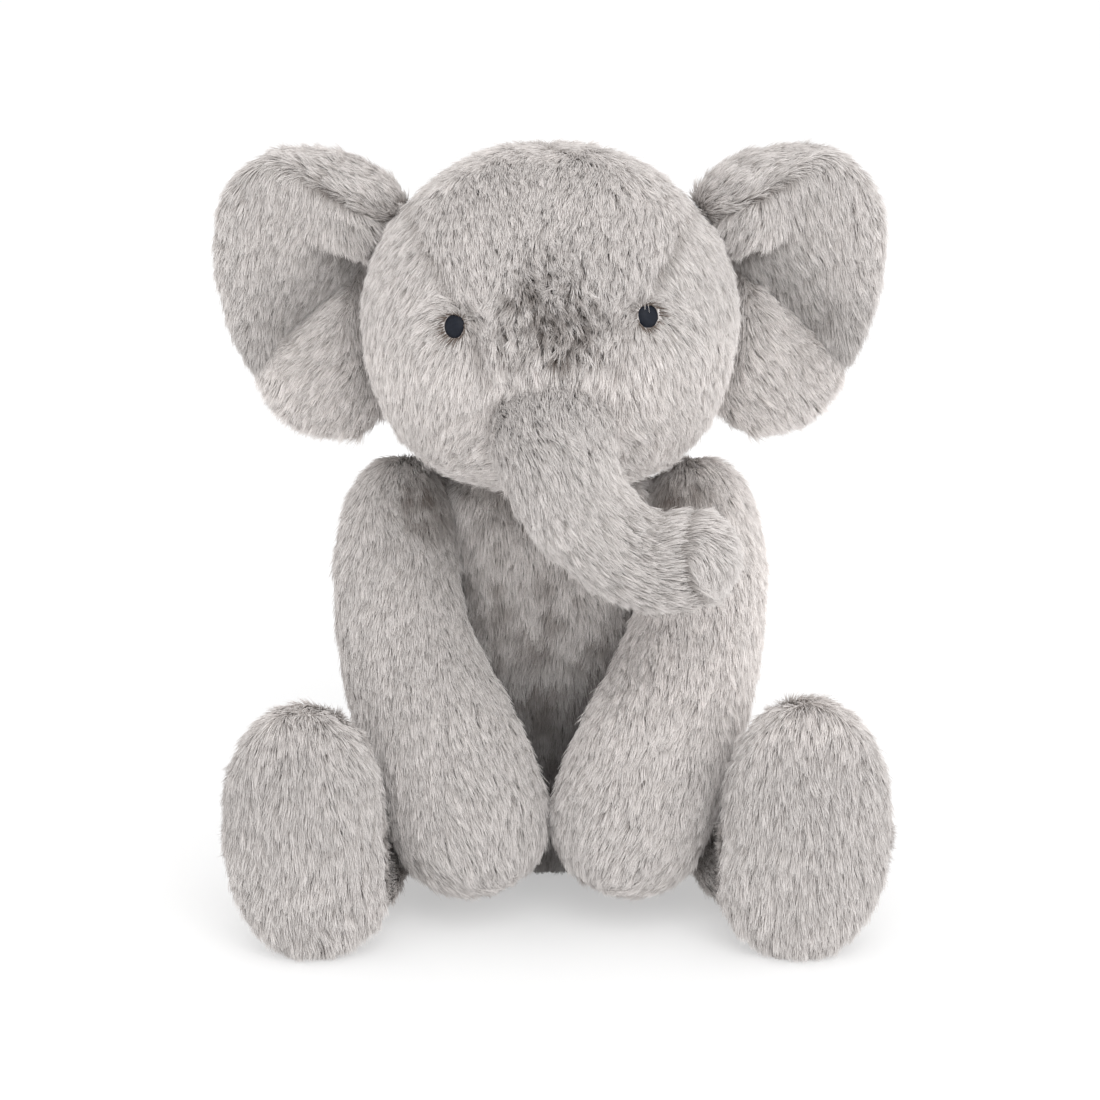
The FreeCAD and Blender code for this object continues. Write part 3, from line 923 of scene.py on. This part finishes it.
def make_tail():
    root = joint_point("tail_lift")
    tuft = middle("tail_tuft")
    path = [root, (root + tuft) / 2 + np.array([0, 4.0, 4.0]) * MM, tuft + np.array([0, 0, 5.0]) * MM, tuft]
    tail = tube_mesh("tail_skin", path, [3.6 * MM, 3.4 * MM, 3.6 * MM, 5.6 * MM], across=20)
    length = lambda p, n: 0.55 + 0.5 * bump(np.linalg.norm(p - tuft, axis=1), 9 * MM)
    dress(tail, "tail", Coat(path_flow(path), length=length), body_nodes("tail"), 6)


# ---------------------------------------------------------------- arms and legs

# The forearms are fuller on their inner sides, at this height
FOREARM_Z = 70 * MM
FOREARM_REACH = 27 * MM
FOREARM_FULLNESS = 8 * MM
# The paws end a little above the seat, and the shoulders taper
PAW_TOP = 42 * MM
PAW_LIFT = 0.1
SHOULDER_TAPER = 0.16
# Painted shade and light on the pile from the paw up: the paws darkened, and the right arm painted lighter at its
# top, where it catches more light
PAW_PAINTED_SHADE = 0.89
ARM_TOP_PAINTED_LIGHT = {"left": 0.92, "right": 1.08}
ARM_PAINTED_LIGHT_HEIGHTS = (40 * MM, 90 * MM)
# How each foot differs: extra width as a share, outward shift, and rise of the toe
FOOT_FORM = {"left": (0.075, 1.3 * MM, 1.0 * MM), "right": (0.14, 5.0 * MM, 4.0 * MM)}
FOOT_HALF_HEIGHT = 46 * MM
HEEL_FORWARD = 7 * MM
HEEL_INWARD = 4 * MM
# A low bulge fills the inner side of the ankle
ANKLE_BULGE = 15 * MM
# The sole's seam: where it lies behind the sole, how the sole leans, and how deep it sinks
SOLE_SEAM_BACK = 7.5 * MM
SOLE_LEAN = np.array([0.0, -1.0, 0.16])
SOLE_SEAM_DEPTH = 1.6 * MM
# Painted shade darkens the legs' pile; at the top of the sole it is lighter instead.
LEG_PAINTED_SHADE = 0.89
TOE_LIGHTER = 0.16


def make_arm(name, seed):
    side = SIDES[name]
    root = joint_point(f"arm_{name}_raise")
    low, high = box_of(f"arm_{name}_filling")
    paw = np.array([low[0] if side > 0 else high[0], low[1], low[2]]) + np.array([side * 25, 25, 25]) * MM
    flow_line = unit(paw - root)
    arm = skin_from(f"arm_{name}_skin", f"arm_{name}_filling")
    p, n = vertex_array(arm.data), vertex_array(arm.data, "normal")
    inward = np.clip(-n[:, 0] * side, 0, 1) * bump(p[:, 2] - FOREARM_Z, FOREARM_REACH)
    p[:, 0] -= side * inward * FOREARM_FULLNESS
    p[:, 2] += np.maximum(0, PAW_TOP - p[:, 2]) * PAW_LIFT
    shoulder = np.clip((p[:, 2] - root[2] + 12 * MM) / (32 * MM), 0, 1)
    p[:, 0] += (root[0] - side * 3 * MM - p[:, 0]) * SHOULDER_TAPER * shoulder
    set_vertices(arm.data, p)

    def flow(p, n):
        return flow_line + np.outer(np.clip((p[:, 2] - 70 * MM) / (60 * MM), -1, 1), [side * 0.3, 0.15, 0.0])

    # Brown at the top of the shoulder's inside, partly brown partings and partly painted shade.
    def brown(p, n):
        top = bump(np.linalg.norm(p - root - np.array([-side * 14, -19, 13]) * MM, axis=1), 14 * MM)
        return np.clip(top * (0.75 + 0.6 * noise(p, 3.5 * MM, 71)[:, 0]), 0, 0.75)

    # Painted light and shade, from the paw's value up to the arm top's.
    shade = lambda p, n: np.interp(p[:, 2], ARM_PAINTED_LIGHT_HEIGHTS, (PAW_PAINTED_SHADE, ARM_TOP_PAINTED_LIGHT[name]))
    dress(arm, f"arm_{name}", Coat(flow, brown, shade=shade), body_nodes(f"arm_{name}"), seed)


def make_leg(name, seed):
    side = SIDES[name]
    root = joint_point(f"leg_{name}_swing")
    sole_low, sole_high = box_of(f"sole_{name}_panel")
    foot = (sole_low + sole_high) / 2
    leg = skin_from(f"leg_{name}_skin", f"leg_{name}_filling")
    lean = unit(SOLE_LEAN)
    seam_at = foot - lean * SOLE_SEAM_BACK

    def seam(p):
        return (p - seam_at) @ lean

    p, n = vertex_array(leg.data), vertex_array(leg.data, "normal")
    front = np.clip((foot[1] + 48 * MM - p[:, 1]) / (24 * MM), 0, 1)
    up = np.clip((p[:, 2] - foot[2]) / FOOT_HALF_HEIGHT, -1, 1)
    wide = np.where(up > 0, 0.20 * up**2, 0.10 * np.abs(up))
    width, shift, toe = FOOT_FORM[name]
    p[:, 0] += (p[:, 0] - foot[0]) * (wide + width) * front
    p[:, 0] += side * (shift + np.minimum(up, 0) * HEEL_INWARD) * front
    p[:, 1] += np.minimum(up, 0) * HEEL_FORWARD * front
    p[:, 2] += np.maximum(up, 0) ** 2 * toe * front
    inner = np.clip((foot[0] * side - 12 * MM - p[:, 0] * side) / (14 * MM), 0, 1)
    low = bump(p[:, 2] - 8 * MM, 13 * MM) * bump(p[:, 1] - foot[1] - 22 * MM, 24 * MM)
    p[:, 0] -= side * inner * low * ANKLE_BULGE
    upright = p[:, 1] < foot[1] + 24 * MM
    set_vertices(leg.data, p - n * (bump(seam(p), 2.4 * MM) * upright * SOLE_SEAM_DEPTH)[:, None])
    forward = unit(foot - root)

    def flow(p, n):
        sole = np.clip(seam(p) / (3 * MM) + 0.5, 0, 1)[:, None]
        droop = np.clip((seam(p) + 16 * MM) / (14 * MM), 0, 1) * (p[:, 2] > foot[2])
        along = np.stack([forward[0] * (1 - 0.5 * droop), forward[1] * (1 - 0.3 * droop), 0.1 - 0.95 * droop], 1)
        return along * (1 - sole) + np.array([0.0, 0.0, -1.0]) * sole

    def brown(p, n):
        line = bump(seam(p), 1.8 * MM) * 0.12 * (p[:, 2] > 30 * MM)
        spot = np.linalg.norm(p - np.array([foot[0] + side * 4 * MM, foot[1], sole_high[2] - 4 * MM]), axis=1)
        return np.clip(line + bump(spot, 12 * MM) * 0.05, 0, 0.6)

    # Painted shade on the leg, lighter at the top of the sole.
    shade = lambda p, n: LEG_PAINTED_SHADE + TOE_LIGHTER * bump(p[:, 2] - sole_high[2], 8 * MM)
    dress(leg, f"leg_{name}", Coat(flow, brown, shade=shade), body_nodes(f"leg_{name}"), seed)


# ---------------------------------------------------------------- ears

def line_distance(p, line):
    """Distance in the X-Z plane from a line between two points."""
    start, end = np.array(line[0]), np.array(line[1])
    q = p[:, [0, 2]] - start
    d = end - start
    share = np.clip(q @ d / (d @ d), 0, 1)
    return np.linalg.norm(q - share[:, None] * d, axis=1)


# Depths of the ear's folds
HOOD_ROLL = 8.0 * MM
HOOD_CREST = 2.2 * MM
VALLEY_DEPTH = 12.5 * MM
LOBE_EDGE = 2.8 * MM
VALLEY_CREASE = 2.2 * MM
RIM_CURL = 5.0 * MM
EAR_WIDER = 0.03
EAR_VOXEL = 4 * MM
EAR_INSET = 0.6 * MM
# Painted shade on the ear's pile, and how much painted shade darkens the hollow and painted light lightens the lobe
EAR_PAINTED_SHADE = 0.97
HOLLOW_PAINTED_SHADE = 0.17
LOBE_PAINTED_LIGHT = 0.10


def within(share, low, high, soft):
    """1 between two shares along a line, falling to 0 outside them."""
    return np.clip((share - low) / soft + 0.5, 0, 1) * np.clip((high - share) / soft + 0.5, 0, 1)


def ear_lines(name):
    """The ear's folds in the X-Z plane, placed from its box by shares of its width and height."""
    side = SIDES[name]
    low, high = box_of(f"ear_{name}_wadding")
    inner = high[0] if side < 0 else low[0]
    outer = low[0] if side < 0 else high[0]

    def spot(out, up):
        return (inner + (outer - inner) * out, low[2] + (high[2] - low[2]) * up)

    return {
        "parting": (spot(0.50, 0.90), spot(0.06, 0.76)),
        "flap": (spot(0.40, 0.70), spot(0.06, 0.60)),
        "valley": (spot(0.22, 0.60), spot(0.72, 0.30)),
        "rim": (spot(0.97, 0.62), spot(0.86, 0.30)),
    }


def line_side(p, line):
    """Signed distance in the X-Z plane above a line (positive is up), and the share along it."""
    start, end = np.array(line[0]), np.array(line[1])
    d = end - start
    length = np.linalg.norm(d)
    across = np.array([-d[1], d[0]]) / length
    if across[1] < 0:
        across = -across
    q = p[:, [0, 2]] - start
    return q @ across, (q @ d) / length**2


def make_ear(name, seed):
    side = SIDES[name]
    lines = ear_lines(name)
    layers = [f"ear_{name}_{layer}" for layer in ("front_panel", "wadding", "back_panel")]
    ear = remeshed(copied(f"ear_{name}_skin", layers), EAR_VOXEL)
    swollen(ear, -EAR_INSET)
    ear = subdivided(padded(ear))
    p = vertex_array(ear.data)

    above_parting, along_parting = line_side(p, lines["parting"])
    above_flap, along_flap = line_side(p, lines["flap"])
    above_valley, along_valley = line_side(p, lines["valley"])
    on_flap = within(along_flap, -0.15, 1.2, 0.5)
    roll = np.clip(1 - (above_parting / (11 * MM)) ** 2, 0, 1) ** 0.5 * (above_parting > 0)
    roll = np.where(above_parting > 0, roll, 1.0) * np.clip(above_flap / (3.5 * MM) + 0.5, 0, 1)
    crest = bump(above_parting, 2.2 * MM) * within(along_parting, 0, 1, 0.3)
    slope = np.where(above_valley > 0, above_valley / (20 * MM), -above_valley / (26 * MM))
    along = within(along_valley, -0.2, 1.04, 0.42)
    valley = np.clip(1 - slope, 0, 1) ** 1.3 * along
    crease = bump(above_valley, 2.4 * MM) * VALLEY_CREASE
    lobe_edge = (bump(above_valley + 10 * MM, 7 * MM) * LOBE_EDGE - crease) * along
    hood = roll * on_flap
    rim = bump(line_distance(p, lines["rim"]), 12 * MM)
    open_part = (lobe_edge - valley * VALLEY_DEPTH) * (1 - hood)
    p[:, 1] -= hood * HOOD_ROLL - crest * HOOD_CREST + open_part + rim * RIM_CURL
    inner_edge = min(np.abs(p[:, 0]))
    p[:, 0] += side * (np.abs(p[:, 0]) - inner_edge) * EAR_WIDER
    set_vertices(ear.data, p)

    def flow(p, n):
        over, _ = line_side(p, lines["parting"])
        flap, along = line_side(p, lines["flap"])
        valley, _ = line_side(p, lines["valley"])
        top = np.clip(over / (4 * MM) + 0.3, 0, 1)[:, None]
        hood = (np.clip(flap / (4 * MM) + 0.5, 0, 1) * within(along, -0.15, 1.2, 0.5))[:, None] * (1 - top)
        lobe = np.clip(-valley / (5 * MM) + 0.5, 0, 1)[:, None] * (1 - top) * (1 - hood)
        rest = 1 - top - hood - lobe
        up = np.array([side * 0.7, -0.1, 0.5])
        down_in = np.array([-side * 0.35, 0.0, -0.9])
        along_valley = np.array([side * 0.62, 0.0, -0.78])
        outward = np.array([side * 0.32, 0.0, -0.95])
        return up * top + down_in * hood + along_valley * lobe + outward * rest

    def brown(p, n):
        over, along = line_side(p, lines["parting"])
        flap, along_flap = line_side(p, lines["flap"])
        broken = np.clip(0.3 + noise(p, 4 * MM, 91)[:, 0] * 0.4, 0, 0.6)
        part = bump(over, 1.6 * MM) * within(along, 0.1, 0.95, 0.3) * broken
        # Painted shadow: brown just under the flap's lower edge.
        flap_shadow = bump(flap + 2 * MM, 3 * MM) * within(along_flap, 0, 1, 0.4) * 0.18
        return np.clip(part + flap_shadow, 0, 0.7) * (n[:, 1] < 0)

    # Painted shade in the hollow above the valley, painted light on the lobe below it, on the ear's front.
    def shade(p, n):
        above, _ = line_side(p, lines["valley"])
        above_hood, _ = line_side(p, lines["flap"])
        hollow_shade = np.clip(above / (3 * MM) + 0.5, 0, 1) * np.clip((34 * MM - above) / (24 * MM), 0, 1)
        hollow_shade *= np.clip(0.5 - above_hood / (4 * MM), 0, 1)
        lobe = np.clip(0.5 - above / (4 * MM), 0, 1)
        return EAR_PAINTED_SHADE - (HOLLOW_PAINTED_SHADE * hollow_shade - LOBE_PAINTED_LIGHT * lobe) * (n[:, 1] < 0)

    def length(p, n):
        return 0.82 + 0.18 * np.clip(np.abs(line_side(p, lines["valley"])[0]) / (12 * MM), 0, 1)

    dress(ear, f"ear_{name}", Coat(flow, brown, length, shade=shade), body_nodes(f"ear_{name}"), seed)


# ---------------------------------------------------------------- stage

CAMERA_DISTANCE = 1.2
CAMERA_RISE = math.radians(16)
CAMERA_TARGET = Vector((0.0, -0.030, 0.1305))
CAMERA_LENS = 101.7


def make_stage():
    mesh = bpy.data.meshes.new("floor")
    size = 6.0
    mesh.from_pydata([(-size, -size, 0), (size, -size, 0), (size, size, 0), (-size, size, 0)], [], [(0, 1, 2, 3)])
    floor = new_object("floor", mesh)
    material, _, shader = node_material("floor")
    shader.inputs["Base Color"].default_value = (0.55, 0.55, 0.55, 1)
    shader.inputs["Emission Color"].default_value = (1, 1, 1, 1)
    shader.inputs["Emission Strength"].default_value = 0.42
    shader.inputs["Roughness"].default_value = 0.9
    shader.inputs["Specular IOR Level"].default_value = 0.1
    mesh.materials.append(material)
    scene = bpy.context.scene
    scene.view_settings.view_transform = "Standard"
    world = bpy.data.worlds.new("world")
    scene.world = world
    world.use_nodes = True
    background = world.node_tree.nodes["Background"]
    background.inputs[0].default_value = (1, 1, 1, 1)
    background.inputs[1].default_value = 1.06
    add_light("key", (0.25, -1.3, 1.4), 1.2, 9)
    add_light("fill", (0.8, -1.4, 0.6), 1.0, 5)
    camera = bpy.data.cameras.new("camera")
    camera.lens = CAMERA_LENS
    camera.sensor_width = 36.0
    view = bpy.data.objects.new("camera", camera)
    scene.collection.objects.link(view)
    back = Vector((0, -math.cos(CAMERA_RISE), math.sin(CAMERA_RISE)))
    view.location = CAMERA_TARGET + back * CAMERA_DISTANCE
    view.rotation_euler = (-back).to_track_quat("-Z", "Y").to_euler()
    scene.camera = view


def add_light(name, place, size, power):
    light = bpy.data.lights.new(name, "AREA")
    light.size = size
    light.energy = power
    lamp = bpy.data.objects.new(name, light)
    lamp.location = place
    lamp.rotation_euler = (CAMERA_TARGET - Vector(place)).to_track_quat("-Z", "Y").to_euler()
    bpy.context.scene.collection.objects.link(lamp)


make_head()
make_trunk()
make_torso()
make_tail()
for index, part_side in enumerate(SIDES):
    make_arm(part_side, 10 + index)
    make_leg(part_side, 20 + index)
    make_ear(part_side, 30 + index)
make_stage()
